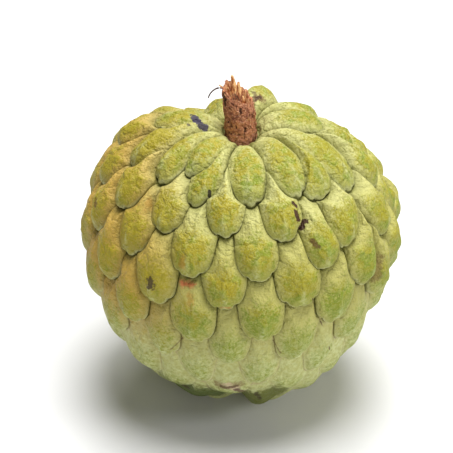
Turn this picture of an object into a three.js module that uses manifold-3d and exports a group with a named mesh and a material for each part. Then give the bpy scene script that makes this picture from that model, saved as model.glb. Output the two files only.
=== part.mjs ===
// A custard apple (sugar apple) with its broken stem.
// The fruit is one body. Its skin is divided into cells, one for each carpel, set out in staggered rows
// round the fruit. Each cell swells into a scale: low and narrow at its root, towards the stem, and round
// at its tip, which stands over the roots of the scales below it. The scales are bold above the widest
// line and flatten towards the base. The stem stands in a shallow hollow at the top.
// Millimetres, +Z up, origin on the ground under the middle of the fruit. Azimuth 0 faces -Y and grows
// towards +X; the polar angle is 0 at the stem and 180 at the base.
import * as THREE from "three";
import { mergeVertices } from "three/addons/utils/BufferGeometryUtils.js";
import Module from "manifold-3d";

// ---- driving dimensions ----
const centreHeight = 41.6; // above the ground; what would reach lower is pressed flat
const crestSize = 44.6; // radius of the body over the crests of the scales
// What is added to the radius or taken off it, with polar angles and half widths in degrees.
const shoulder = { swell: 1.3, polar: 62, tall: 24 };
const waist = { swell: -1.5, polar: 108, tall: 20 };
const stemHollow = { swell: -6.3, polar: 0, tall: 13 };
const baseLoss = { depth: 0.9, from: 90, to: 130 };
const relief = { top: 4.1, bottom: 1.1, from: 78, to: 128 }; // crest over groove; changes between angles
// Broad swellings of the body, up or down: azimuth and polar angle of the middle, half widths in degrees.
const lean = [
  { azimuth: 4, polar: 12, wide: 52, tall: 10, swell: -4 }, // the hollow is open to the front
  { azimuth: -104, polar: 40, wide: 34, tall: 20, swell: 3.2 },
  { azimuth: 178, polar: 38, wide: 56, tall: 18, swell: -3.2 },
  { azimuth: 84, polar: 114, wide: 50, tall: 22, swell: -2.4 },
  { azimuth: -90, polar: 142, wide: 50, tall: 20, swell: -1.4 },
  { azimuth: -139, polar: 22, wide: 24, tall: 12, swell: -4.3 },
  { azimuth: -160, polar: 45, wide: 26, tall: 12, swell: -1.7 },
  { azimuth: 138, polar: 22, wide: 20, tall: 10, swell: -1 },
  { azimuth: 116, polar: 50, wide: 16, tall: 12, swell: -1.3 },
  { azimuth: 96, polar: 62, wide: 20, tall: 6, swell: -1.2 },
  { azimuth: -4, polar: 146, wide: 9, tall: 14, swell: -3.4 }, // a cleft low on the front
  { azimuth: 10, polar: 143, wide: 9, tall: 9, swell: 1 },
];
const innerScales = [
  { azimuth: -31, polar: 28.5, size: 0.95 },
  { azimuth: 100, polar: 24, size: 0.9 },
  { azimuth: 160, polar: 27, size: 1.6 },
  { azimuth: -157, polar: 26, size: 1.15 },
  { azimuth: -96, polar: 24, size: 0.8 },
]; // the few short scales next to the stem
const rows = { count: 8, scales: 14, first: 34.4, step: 12.25 }; // the full rows and their polar angles
const baseRows = [
  { scales: 11, polar: 133.5, first: 10 },
  { scales: 8, polar: 146.5, first: 27 },
  { scales: 5, polar: 161, first: 44 },
]; // first is the azimuth of the first scale of a row
const blossomEnd = { polar: 179.5, pull: 0.97 };
const hollowPull = 1.035; // widens the cell that is the floor of the hollow
const wander = { rows: 4, base: 6, drop: 0.3 }; // degrees a scale may stray sideways; drop is the share down
const scaleSizes = { least: 0.82, most: 1.18 }; // height of a scale over the usual
// Scales that stand off their places: row, place in the row, degrees to turn and degrees to drop.
const strays = [
  [0, 0, 0.5, -1], [0, 1, -1.5, -1.5], [0, 2, -13.7, 4.3], [0, 3, -16.3, 1], [0, 4, -8, 1],
  [0, 11, -1, -2], [0, 12, -1, -3],
  [1, 0, 0.5, -2.6], [1, 2, 1.2, 6.5], [1, 3, 17.5, -1], [1, 4, 10, 0], [1, 5, 5, 0],
  [1, 12, 0, -2.4], [1, 13, -1, -2.4],
  [2, 0, 1, 0], [2, 1, 2.5, -1.5], [2, 2, 11.4, 2], [2, 3, 9, 2], [2, 12, -0.5, -2.2], [2, 13, 1, -2],
  [3, 0, 1.8, -3.2], [3, 1, 2, -2.8], [3, 2, 8, -1], [3, 3, 8, 3], [3, 13, -1, -0.5],
  [4, 0, 1.5, -0.5], [4, 1, 6.9, -3.8], [4, 2, 4, -6],
  [5, 0, 2.3, -1], [5, 1, 2, -1],
];
const firstDraws = { turn: 0, drop: 500, size: 900 }; // where each kind of random draw starts
const frontAzimuth = 4.8; // of a scale of the first full row
const rowDrift = 0.45; // degrees that each row is turned past the last
const stretch = 0.62; // width of a scale over its length
const evenness = 0.4; // how evenly the upper rows are set apart, against following the roundness
const bow = 0.13; // of a cell's outline, as a share of the length of its side
// How directly one cell lies below another, from 0 to 1: the side between them starts to bow, is fully
// bowed, starts to be the end of a tip, and is all tip.
const falls = { bowFrom: 0.05, bowTo: 0.4, tipFrom: 0.6, tipTo: 0.9 };
const lowArch = 6.75; // makes the bow of a slanting side 1 at its fullest, two thirds of the way down
const southward = { root: -0.75, tip: 0.2 }; // where on its outline a scale turns from root to tip
const crestShift = 0.2; // of a scale's crest towards its tip
const fullness = { flat: 1.8, bold: 2.5 }; // how far the top of a scale stays high
const steepness = { flat: 1.3, bold: 0.6 }; // how it falls to the groove; less is steeper
const cornerRounding = 7; // less rounds the tips more
const rootLevel = 0.92; // height of a scale's root over that of its tip
const lipReach = 0.9; // of a bold tip over its outline
const lipLow = 6; // how low on the side of the scale the lip stands out
const stemSocket = { radius: 5.1, depth: 2, tuck: 0.3 }; // tuck is how far the skin turns down into it
const fitGap = 0.35; // between the stem and its socket
const stem = {
  length: 16.8, // above the floor of the hollow, on the side of -X
  slant: 4.2, // how much lower the torn end is on the side of +X
  backRise: 1.2, // how much higher it is at the back
  footRadius: 4.7,
  headRadius: 3.85,
  lean: -1.05, // of the head, along X
  sides: 20,
  roughness: 0.07,
  teeth: 1.5, // how ragged the torn end is
  levels: [0, 0.2, 0.4, 0.6, 0.8, 1], // of the rings of the bark, over its length
  hollow: 0.72, // share of the radius where the torn end is deepest
  core: 0.36,
};
// Bent lines of points, the height taken from the floor of the hollow.
const splinters = [
  { path: [[-1.7, 0.8, 11.1], [-1.9, 0.6, 16.6], [-2.4, 0.4, 19.9]], radius: 1.6, tipShare: 0.3 },
  { path: [[-0.5, 1.4, 11.1], [-0.6, 1.3, 14.6], [-0.7, 1.2, 17.6]], radius: 1.4, tipShare: 0.35 },
  { path: [[-3.0, -0.8, 11.1], [-3.3, -0.9, 15.4], [-3.5, -1.0, 17.2]], radius: 1.0, tipShare: 0.35 },
  { path: [[-3.8, 0.6, 12.1], [-4.6, 0.6, 16], [-5.8, 0.5, 17.2]], radius: 0.8, tipShare: 0.4 },
  { path: [[-4.0, -1.4, 12.1], [-4.5, -1.6, 15.2], [-4.8, -1.8, 16.6]], radius: 0.8, tipShare: 0.4 },
  { path: [[0.6, -1.2, 10.6], [0.7, -1.6, 13.4], [0.5, -1.8, 15]], radius: 0.9, tipShare: 0.35 },
  {
    path: [[-4.0, -0.6, 15.6], [-6.0, -0.8, 17], [-7.6, -1.0, 16.2], [-8.7, -1.2, 14.3]],
    radius: 0.4,
    tipShare: 0.8,
  },
];
const edgeStep = 6.5; // longest piece of a cell's outline
const shortSide = 1.5; // a side shorter than this is one piece
const boldFrom = 0.3; // the tip of a scale bolder than this has at least three pieces
const cornerMerge = 0.012; // distance on a unit globe
// Rings of points between a crest and its outline, for scales at least this bold.
const ringSets = [
  { boldness: 0.98, shares: [0.45, 0.78, 0.94] },
  { boldness: 0.04, shares: [0.52, 0.88] },
  { boldness: 0, shares: [0.7] },
];

const degrees = THREE.MathUtils.degToRad;
const mix = THREE.MathUtils.lerp;
const smooth = (x, low, high) => THREE.MathUtils.smoothstep(x, low, high);
const hump = (x, middle, width) => Math.exp(-(((x - middle) / width) ** 2));
const inDegrees = THREE.MathUtils.radToDeg;
// A repeatable draw between 0 and 1 for each number n.
const draw = (n) => {
  const x = Math.sin(n * 12.9898 + 4.1414) * 43758.5453;
  return x - Math.floor(x);
};

// ---- the round body ----
function leanAt(azimuth, angle) {
  return lean.reduce((sum, part) => {
    const turn = THREE.MathUtils.euclideanModulo(inDegrees(azimuth) - part.azimuth + 180, 360) - 180;
    return sum + part.swell * hump(turn, 0, part.wide) * hump(angle, part.polar, part.tall);
  }, 0);
}
function crestRadius(azimuth, polar) {
  const angle = inDegrees(polar);
  let radius = crestSize - baseLoss.depth * smooth(angle, baseLoss.from, baseLoss.to);
  for (const { swell, polar: level, tall } of [shoulder, waist, stemHollow]) {
    radius += swell * hump(angle, level, tall);
  }
  return radius + leanAt(azimuth, angle);
}
function reliefAt(polar) {
  const angle = inDegrees(polar);
  return mix(relief.top, relief.bottom, smooth(angle, relief.from, relief.to));
}
const grooveRadius = (azimuth, polar) => crestRadius(azimuth, polar) - reliefAt(polar);
const boldness = (polar) => (reliefAt(polar) - relief.bottom) / (relief.top - relief.bottom);

// ---- the net of cells ----
// The cells are worked out on a unit globe whose polar angles are squeezed, so that a scale that is longer
// than wide on the fruit is as long as wide on the globe.
const dropAt = (polar) => {
  const round = Math.log(Math.tan(Math.max(polar, 1e-4) / 2));
  return polar < Math.PI / 2 ? mix(round, polar - Math.PI / 2, evenness) : round;
};
const squeezed = (polar) => 2 * Math.atan(Math.exp(stretch * dropAt(polar)));
function released(polar) {
  const drop = Math.log(Math.tan(polar / 2)) / stretch;
  if (drop >= 0) return 2 * Math.atan(Math.exp(drop));
  let guess = 2 * Math.atan(Math.exp(drop));
  for (let k = 0; k < 8; k++) {
    guess -= (dropAt(guess) - drop) / (evenness + (1 - evenness) / Math.sin(guess));
    guess = Math.max(guess, 1e-3);
  }
  return guess;
}
function onGlobe(azimuth, polar) {
  const flat = Math.sin(polar);
  return new THREE.Vector3(flat * Math.sin(azimuth), -flat * Math.cos(azimuth), Math.cos(polar));
}
// The point of the fruit under a point of the globe, lifted over the groove line.
function onFruit(globePoint, lift) {
  const azimuth = Math.atan2(globePoint.x, -globePoint.y);
  const polar = released(Math.acos(THREE.MathUtils.clamp(globePoint.z / globePoint.length(), -1, 1)));
  const point = onGlobe(azimuth, polar).multiplyScalar(grooveRadius(azimuth, polar) + lift);
  point.z += centreHeight;
  return point;
}

function addSeed(seeds, azimuth, polar, { wandering = 0, pull = 1, size }) {
  const n = seeds.length;
  const turned = degrees(azimuth + wandering * (draw(n + firstDraws.turn) - 0.5));
  const lowered = degrees(polar + wander.drop * wandering * (draw(n + firstDraws.drop) - 0.5));
  const place = onGlobe(turned, squeezed(lowered));
  const height = size ?? mix(scaleSizes.least, scaleSizes.most, draw(n + firstDraws.size));
  seeds.push({ place, weighted: place.clone().multiplyScalar(pull), polar: lowered, size: height });
}
function makeSeeds() {
  const top = new THREE.Vector3(0, 0, 1);
  const seeds = [{ place: top, weighted: top.clone().multiplyScalar(hollowPull), polar: 0, size: 0 }];
  addSeed(seeds, 0, blossomEnd.polar, { pull: blossomEnd.pull });
  innerScales.forEach(({ azimuth, polar, size }) => addSeed(seeds, azimuth, polar, { size }));
  for (let row = 0; row < rows.count; row++) {
    const stagger = row % 2 ? -0.5 : 0;
    for (let k = 0; k < rows.scales; k++) {
      const azimuth = frontAzimuth + rowDrift * row + ((k + stagger) * 360) / rows.scales;
      const [, , turn, drop] = strays.find((stray) => stray[0] === row && stray[1] === k) ?? [row, k, 0, 0];
      addSeed(seeds, azimuth + turn, rows.first + rows.step * row + drop, { wandering: wander.rows });
    }
  }
  baseRows.forEach(({ scales, polar, first }) => {
    for (let k = 0; k < scales; k++) {
      addSeed(seeds, first + (k * 360) / scales, polar, { wandering: wander.base });
    }
  });
  return seeds;
}

// Keeps the part of a convex polygon of {x, y, beyond} corners where side is not above 0. beyond names the
// cell across the side that starts at the corner.
function cut(corners, side, beyond) {
  const kept = [];
  corners.forEach((p, i) => {
    const q = corners[(i + 1) % corners.length];
    const [sp, sq] = [side(p), side(q)];
    if (sp <= 0) kept.push(p);
    if (sp <= 0 === sq <= 0) return;
    const t = sp / (sp - sq);
    kept.push({ x: mix(p.x, q.x, t), y: mix(p.y, q.y, t), beyond: sp <= 0 ? beyond : p.beyond });
  });
  return kept;
}
// One point for corners that all but meet.
function settled(point, found) {
  const near = found.find((other) => other.distanceTo(point) < cornerMerge);
  if (!near) found.push(point);
  return near ?? point;
}
// The corners of cell i on the globe, anticlockwise from outside.
function cellCorners(seeds, i, found) {
  const up = seeds[i].place;
  const across = new THREE.Vector3(0.31, 0.95, 0).cross(up).normalize();
  const along = up.clone().cross(across);
  let corners = [
    { x: -2, y: -2 },
    { x: 2, y: -2 },
    { x: 2, y: 2 },
    { x: -2, y: 2 },
  ];
  seeds.forEach((seed, j) => {
    if (j === i) return;
    const away = seed.weighted.clone().sub(seeds[i].weighted);
    const [level, ax, ay] = [away.dot(up), away.dot(across), away.dot(along)];
    corners = cut(corners, (p) => level + p.x * ax + p.y * ay, j);
  });
  return corners.map(({ x, y, beyond }) => {
    const point = up.clone().addScaledVector(across, x).addScaledVector(along, y).normalize();
    return { point: settled(point, found), beyond };
  });
}

// The points from corner p to corner q, bowed away from the upper of the two cells that they part. fall is
// 1 where one cell lies straight below the other and 0 where they lie side by side.
function sideBetween(p, q, a, b) {
  const length = onFruit(p, 0).distanceTo(onFruit(q, 0));
  const away = b.place.clone().sub(a.place).normalize();
  const fall = (Math.acos(b.place.z) - Math.acos(a.place.z)) / b.place.distanceTo(a.place);
  const tipness = smooth(Math.abs(fall), falls.tipFrom, falls.tipTo);
  const boldTip = tipness > 0.5 && boldness(a.polar) > boldFrom;
  const fewest = length < shortSide ? 1 : boldTip ? 3 : 2;
  const pieces = Math.max(fewest, Math.ceil(length / edgeStep));
  const bowed = smooth(Math.abs(fall), falls.bowFrom, falls.bowTo);
  const most = bow * bowed * Math.sign(fall) * p.distanceTo(q);
  const points = [];
  for (let k = 0; k <= pieces; k++) {
    const t = k / pieces;
    const low = q.z < p.z ? t : 1 - t;
    const arch = mix(lowArch * low * low * (1 - low), 4 * t * (1 - t), tipness);
    points.push(p.clone().lerp(q, t).addScaledVector(away, most * arch).normalize());
  }
  return points;
}
function cellOutline(seeds, i, corners, known) {
  const outline = [];
  corners.forEach(({ point, beyond }, k) => {
    const next = corners[(k + 1) % corners.length].point;
    if (point === next) return;
    let side = known.get(beyond + " " + i);
    if (side) side = [...side].reverse();
    else {
      side = sideBetween(point, next, seeds[i], seeds[beyond]);
      known.set(i + " " + beyond, side);
    }
    outline.push(...side.slice(0, -1));
  });
  return outline;
}

// ---- the skin ----
function joinRings(faces, outer, inner) {
  outer.forEach((p, k) => {
    const next = (k + 1) % outer.length;
    faces.push(inner[k], p, outer[next]);
    faces.push(inner[k], outer[next], inner[next]);
  });
}
function closeRing(faces, ring, middle) {
  ring.forEach((p, k) => faces.push(middle, p, ring[(k + 1) % ring.length]));
}

// A scale: rings of points from its outline in to its crest. share is 0 at the crest and 1 in the groove,
// and reaches 1 sooner towards the corners of the cell, which rounds the scale. tipness is 1 on the sides
// that stand over other scales and 0 at the root.
function addScale(faces, seeds, i, corners, outline) {
  const seed = seeds[i];
  const middle = outline.reduce((sum, p) => sum.add(p), new THREE.Vector3()).normalize();
  const tip = outline.reduce((low, p) => (p.z < low.z ? p : low));
  const crest = middle.lerp(tip, crestShift).normalize();
  const crestPolar = Math.acos(crest.z);
  const south = onGlobe(Math.atan2(crest.x, -crest.y), crestPolar + Math.PI / 2);
  const height = reliefAt(seed.polar) * seed.size;
  const bold = boldness(seed.polar);
  const full = mix(fullness.flat, fullness.bold, bold);
  const steep = mix(steepness.flat, steepness.bold, bold);
  const walls = corners.map(({ beyond }) => seeds[beyond].weighted.clone().sub(seed.weighted));
  const foot = onFruit(crest, 0);
  const { shares } = ringSets.find((set) => bold >= set.boldness);
  const rings = shares.map(() => []);
  outline.forEach((end) => {
    const reaches = walls.map((wall) => Math.max(0, 1 - wall.dot(end) / wall.dot(crest)));
    const soft = reaches.reduce((sum, reach) => sum + reach ** cornerRounding, 0) ** (1 / cornerRounding);
    const tipness = smooth(end.clone().sub(crest).normalize().dot(south), southward.root, southward.tip);
    const level = mix(rootLevel, 1, tipness);
    const rounding = mix(1, Math.max(1, soft / Math.max(...reaches)), tipness);
    const outward = onFruit(end, 0).sub(foot).normalize();
    shares.forEach((ring, k) => {
      const share = Math.min(1, ring * rounding);
      const lift = height * mix(1, level, ring) * (1 - share ** full) ** steep;
      const lip = lipReach * bold * tipness * Math.sin(Math.PI * share ** lipLow);
      rings[k].push(onFruit(crest.clone().lerp(end, ring), lift).addScaledVector(outward, lip));
    });
  });
  rings.push(outline.map((end) => onFruit(end, 0)));
  closeRing(faces, rings[0], onFruit(crest, height));
  for (let r = 1; r < rings.length; r++) joinRings(faces, rings[r], rings[r - 1]);
}

// The ring of skin round the stem, with a round socket for the stem. Gives the height of its lowest point.
function addSocket(faces, outline) {
  const rim = outline.map((end) => onFruit(end, 0));
  const floor = Math.min(...rim.map((p) => p.z));
  const ringAt = (heightAt) =>
    rim.map((p) => {
      const azimuth = Math.atan2(p.x, -p.y);
      const across = stemSocket.radius * Math.sin(azimuth);
      return new THREE.Vector3(across, -stemSocket.radius * Math.cos(azimuth), heightAt(p));
    });
  const lip = ringAt((p) => p.z - stemSocket.tuck);
  const foot = ringAt(() => floor - stemSocket.depth);
  joinRings(faces, rim, lip);
  joinRings(faces, lip, foot);
  closeRing(faces, foot, new THREE.Vector3(0, 0, floor - stemSocket.depth));
  return floor;
}

function solidFrom(faces) {
  const places = new Float32Array(faces.length * 3);
  faces.forEach((p, i) => places.set([p.x, p.y, Math.max(0, p.z)], 3 * i));
  const geometry = new THREE.BufferGeometry();
  geometry.setAttribute("position", new THREE.BufferAttribute(places, 3));
  const merged = mergeVertices(geometry, 1e-3);
  const index = merged.index.array;
  const kept = [];
  for (let f = 0; f < index.length; f += 3) {
    const [a, b, c] = index.slice(f, f + 3);
    if (a !== b && b !== c && c !== a) kept.push(a, b, c);
  }
  merged.setIndex(kept);
  merged.computeVertexNormals();
  return merged;
}

function makeFruit() {
  const seeds = makeSeeds();
  const known = new Map();
  const found = [];
  const faces = [];
  let floor = 0;
  seeds.forEach((seed, i) => {
    const corners = cellCorners(seeds, i, found);
    const outline = cellOutline(seeds, i, corners, known);
    if (i === 0) floor = addSocket(faces, outline);
    else addScale(faces, seeds, i, corners, outline);
  });
  return { geometry: solidFrom(faces), floor };
}

// ---- the stem ----
// A closed rod: rings of points from its foot to its head, each closed by a fan of faces.
function addRod(faces, rings, foot, head) {
  closeRing(faces, [...rings[0]].reverse(), foot);
  for (let r = 1; r < rings.length; r++) joinRings(faces, rings[r - 1], rings[r]);
  closeRing(faces, rings.at(-1), head);
}
function makeTrunk(floor) {
  const faces = [];
  const foot = floor - stemSocket.depth + fitGap;
  const leanAtHeight = (height) => stem.lean * Math.max(0, (height - floor) / stem.length) ** 1.3;
  const rimAt = (azimuth) => {
    const raised = stem.backRise * smooth(-Math.cos(azimuth), 0, 1);
    return stem.length + raised - stem.slant * (0.5 + 0.5 * Math.sin(azimuth));
  };
  const ringAt = (share, inward, drop) => {
    const ring = [];
    for (let k = 0; k < stem.sides; k++) {
      const azimuth = (2 * Math.PI * k) / stem.sides;
      const rim = rimAt(azimuth) + stem.teeth * (draw(k + 40) - 0.5);
      const height = mix(foot, floor + rim, share) - drop * (0.4 + draw(k + 70));
      const rough = 1 + stem.roughness * (draw(31 * share + 7.7 * k) - 0.5);
      const radius = mix(stem.footRadius, stem.headRadius, share ** 0.6) * (share > 0 ? rough : 1) * inward;
      const centre = leanAtHeight(height);
      ring.push(new THREE.Vector3(centre + radius * Math.sin(azimuth), -radius * Math.cos(azimuth), height));
    }
    return ring;
  };
  const rings = stem.levels.map((share) => ringAt(share, 1, 0));
  rings.push(ringAt(1, stem.hollow, stem.teeth), ringAt(1, stem.core, 0.2 * stem.teeth));
  const head = floor + stem.length - 0.6 * stem.slant;
  addRod(faces, rings, new THREE.Vector3(0, 0, foot), new THREE.Vector3(leanAtHeight(head), 0, head));
  return solidFrom(faces);
}
// A splinter or fibre: a thin rod along a bent line that narrows from its foot to its tip.
function makeSplinter({ path, radius, tipShare }, floor) {
  const points = path.map(([x, y, height]) => new THREE.Vector3(x, y, floor + height));
  const line = new THREE.CatmullRomCurve3(points);
  const steps = 2 * (path.length - 1);
  const frames = line.computeFrenetFrames(steps, false);
  const rings = [];
  for (let k = 0; k <= steps; k++) {
    const place = line.getPoint(k / steps);
    const wide = radius * mix(1, tipShare, k / steps);
    const ring = [];
    for (let side = 0; side < 6; side++) {
      const turn = (Math.PI * side) / 3;
      const across = frames.normals[k].clone().multiplyScalar(wide * Math.cos(turn));
      ring.push(across.addScaledVector(frames.binormals[k], wide * Math.sin(turn)).add(place));
    }
    rings.push(ring);
  }
  const faces = [];
  const tip = line.getPoint(1).addScaledVector(frames.tangents[steps], radius * tipShare);
  addRod(faces, rings, line.getPoint(0), tip);
  return solidFrom(faces);
}
function asManifold(wasm, geometry) {
  const bare = geometry.clone();
  bare.deleteAttribute("normal");
  const vertProperties = new Float32Array(bare.attributes.position.array);
  const triVerts = new Uint32Array(bare.index.array);
  return new wasm.Manifold(new wasm.Mesh({ numProp: 3, vertProperties, triVerts }));
}
async function makeStem(floor) {
  const wasm = await Module();
  wasm.setup();
  let whole = asManifold(wasm, makeTrunk(floor));
  splinters.forEach((splinter) => {
    whole = whole.add(asManifold(wasm, makeSplinter(splinter, floor)));
  });
  const mesh = whole.getMesh();
  const geometry = new THREE.BufferGeometry();
  geometry.setAttribute("position", new THREE.BufferAttribute(new Float32Array(mesh.vertProperties), 3));
  geometry.setIndex([...mesh.triVerts]);
  geometry.computeVertexNormals();
  return geometry;
}

function skinMaterial() {
  return new THREE.MeshStandardMaterial({ color: 0xb3bd72, roughness: 0.6, metalness: 0 });
}
function stemMaterial() {
  return new THREE.MeshStandardMaterial({ color: 0x8a5136, roughness: 0.9, metalness: 0 });
}
function namedMesh(name, geometry, material) {
  const mesh = new THREE.Mesh(geometry, material);
  mesh.name = name;
  return mesh;
}

const { geometry: fruitGeometry, floor } = makeFruit();
const group = new THREE.Group();
group.add(namedMesh("fruit", fruitGeometry, skinMaterial()));
group.add(namedMesh("stem", await makeStem(floor), stemMaterial()));

export default group;
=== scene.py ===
import math
import bpy
import numpy as np
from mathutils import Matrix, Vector


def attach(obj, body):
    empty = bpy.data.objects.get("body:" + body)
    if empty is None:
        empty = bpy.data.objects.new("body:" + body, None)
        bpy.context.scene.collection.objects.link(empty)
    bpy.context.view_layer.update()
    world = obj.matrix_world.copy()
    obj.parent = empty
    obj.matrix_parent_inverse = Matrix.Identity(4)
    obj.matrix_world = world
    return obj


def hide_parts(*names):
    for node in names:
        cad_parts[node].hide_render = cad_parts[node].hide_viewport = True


# A custard apple with its broken stem. The frame gives the size and place of both; this script lays a
# finer skin and stem over them. Lengths in the dictionaries are millimetres, azimuth 0 faces -Y and grows
# towards +X, and polar angles are 0 at the stem and 180 at the base, both in degrees.

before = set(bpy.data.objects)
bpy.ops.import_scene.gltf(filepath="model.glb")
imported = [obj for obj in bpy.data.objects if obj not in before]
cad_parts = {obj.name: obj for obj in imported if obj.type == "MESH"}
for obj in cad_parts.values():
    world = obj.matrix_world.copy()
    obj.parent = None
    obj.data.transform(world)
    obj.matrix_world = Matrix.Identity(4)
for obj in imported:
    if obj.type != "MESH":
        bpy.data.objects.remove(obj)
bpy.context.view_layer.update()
mm = 0.001
print("frame loaded")


def mix(a, b, t):  # a where t is 0, b where it is 1, on a straight line between
    return a + (b - a) * t


def smooth(x, low, high):  # 0 below low, 1 above high, an S curve between
    t = np.clip((x - low) / (high - low), 0, 1)
    return t * t * (3 - 2 * t)


def hump(x, middle, width):  # a bell, 1 at the middle
    return np.exp(-(((x - middle) / width) ** 2))


def drawAt(n):  # a repeatable draw between 0 and 1 for each number n
    x = np.sin(np.asarray(n, float) * 12.9898 + 4.1414) * 43758.5453
    return x - np.floor(x)


def noiseAt(points, size, seed):
    # Lumps of about the given size: draws at the corners of a grid of cubes, blended between -1 and 1.
    scaled = points / size + 17.3 * seed
    corner = np.floor(scaled)
    part = scaled - corner
    part = part * part * (3 - 2 * part)
    total = np.zeros(points.shape[:-1])
    for step in range(8):
        offset = np.array([step & 1, (step >> 1) & 1, step >> 2])
        key = (corner + offset) @ np.array([1.0, 57.0, 113.0]) + 7.0 * seed
        weight = np.prod(np.where(offset == 1, part, 1 - part), axis=-1)
        total += weight * (2 * drawAt(key) - 1)
    return total


def unitOf(vectors):
    return vectors / np.linalg.norm(vectors, axis=-1, keepdims=True)


def band(inner, outer):  # quads between rings of point numbers, which run along the last axis
    corners = [inner, outer, np.roll(outer, -1, -1), np.roll(inner, -1, -1)]
    return np.stack(corners, axis=-1).reshape(-1, 4)


def fan(middle, ring):  # triangles from a middle point to a ring
    return np.stack([middle + 0 * ring, ring, np.roll(ring, -1, -1)], axis=-1).reshape(-1, 3)


def addObject(name, data):
    made = bpy.data.objects.new(name, data)
    bpy.context.collection.objects.link(made)
    return made


def meshPiece(name, points, quads, triangles, values):
    # A smooth-shaded mesh in metres from points in millimetres, with values kept on its points.
    mesh = bpy.data.meshes.new(name)
    corners = np.concatenate([quads.ravel(), triangles.ravel()]).astype(np.int32)
    starts = np.concatenate([4 * np.arange(len(quads)), 4 * len(quads) + 3 * np.arange(len(triangles))])
    mesh.vertices.add(len(points))
    mesh.vertices.foreach_set("co", (points * mm).astype(np.float32).ravel())
    mesh.loops.add(len(corners))
    mesh.loops.foreach_set("vertex_index", corners)
    mesh.polygons.add(len(starts))
    mesh.polygons.foreach_set("loop_start", starts.astype(np.int32))
    mesh.polygons.foreach_set("use_smooth", np.ones(len(starts), bool))
    for key, kept in values.items():
        layer = mesh.attributes.new(key, "FLOAT", "POINT")
        layer.data.foreach_set("value", kept.astype(np.float32))
    mesh.update()
    mesh.validate()
    return addObject(name, mesh)


def put(tree, kind, inputs, **settings):
    # Adds a node; inputs are values or the sockets that feed them.
    node = tree.nodes.new(kind)
    for key, value in settings.items():
        setattr(node, key, value)
    for key, value in inputs.items():
        if isinstance(value, bpy.types.NodeSocket):
            tree.links.new(value, node.inputs[key])
        else:
            node.inputs[key].default_value = value
    return node


def calc(tree, operation, a, b=0.0, held=True):  # held keeps the result between 0 and 1
    return put(tree, "ShaderNodeMath", {0: a, 1: b}, operation=operation, use_clamp=held).outputs[0]


def times(tree, a, b):
    return calc(tree, "MULTIPLY", a, b)


def scaleAdd(tree, value, factor, extra):  # value times factor, plus extra
    return put(tree, "ShaderNodeMath", {0: value, 1: factor, 2: extra}, operation="MULTIPLY_ADD").outputs[0]


def ramp(tree, value, low, high, start=0.0, end=1.0):  # an S curve from start to end between low and high
    inputs = {"Value": value, "From Min": low, "From Max": high, "To Min": start, "To Max": end}
    return put(tree, "ShaderNodeMapRange", inputs, interpolation_type="SMOOTHSTEP").outputs["Result"]


def blend(tree, amount, a, b):  # from colour a to colour b
    a, b = (colour if isinstance(colour, bpy.types.NodeSocket) else (*colour, 1) for colour in (a, b))
    return put(tree, "ShaderNodeMix", {0: amount, 6: a, 7: b}, data_type="RGBA").outputs[2]


def noise(tree, place, size, detail=2.0, rough=0.5):  # lumps of about the given size in millimetres
    inputs = {"Vector": place, "Scale": 1 / size, "Detail": detail, "Roughness": rough}
    return put(tree, "ShaderNodeTexNoise", inputs).outputs["Fac"]


def vector(tree, operation, inputs):
    return put(tree, "ShaderNodeVectorMath", inputs, operation=operation).outputs


def attribute(tree, name):
    return put(tree, "ShaderNodeAttribute", {}, attribute_name=name).outputs["Fac"]


def placeInMm(tree):
    place = put(tree, "ShaderNodeTexCoord", {}).outputs["Object"]
    return vector(tree, "SCALE", {0: place, "Scale": 1 / mm})[0]


def newGroup(name, inputs, outputs):
    # A node group; inputs gives the default of each input, a tuple for a vector, and outputs names numbers.
    group = bpy.data.node_groups.new(name, "ShaderNodeTree")
    for key, value in inputs.items():
        kind = "NodeSocketVector" if isinstance(value, tuple) else "NodeSocketFloat"
        group.interface.new_socket(name=key, in_out="INPUT", socket_type=kind).default_value = value
    for key in outputs:
        group.interface.new_socket(name=key, in_out="OUTPUT", socket_type="NodeSocketFloat")
    return group, group.nodes.new("NodeGroupInput").outputs, group.nodes.new("NodeGroupOutput").inputs


def makeMarkGroup():
    # 1 within Radius of the line from Start to End and 0 beyond it, fading over the outer share Soft. Noise,
    # 0 to 1, makes the edge ragged.
    defaults = {"Place": (0, 0, 0), "Noise": 0.5, "Start": (0, 0, 0), "End": (0, 0, 0), "Radius": 1.0,
                "Ragged": 0.5, "Soft": 0.3}
    group, given, result = newGroup("mark", defaults, ["Mask"])
    reach = vector(group, "SUBTRACT", {0: given["End"], 1: given["Start"]})[0]
    away = vector(group, "SUBTRACT", {0: given["Place"], 1: given["Start"]})[0]
    dot = vector(group, "DOT_PRODUCT", {0: away, 1: reach})["Value"]
    square = vector(group, "DOT_PRODUCT", {0: reach, 1: reach})["Value"]
    nearest = vector(group, "SCALE", {0: reach, "Scale": calc(group, "DIVIDE", dot, square)})[0]
    gap = vector(group, "DISTANCE", {0: away, 1: nearest})["Value"]
    over = calc(group, "DIVIDE", gap, given["Radius"], held=False)
    wave = calc(group, "SUBTRACT", given["Noise"], 0.5, held=False)
    wave = scaleAdd(group, wave, given["Ragged"], over)
    inner = calc(group, "SUBTRACT", 1.0, given["Soft"], held=False)
    group.links.new(ramp(group, wave, inner, 1.0, 1.0, 0.0), result["Mask"])
    return group


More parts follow.
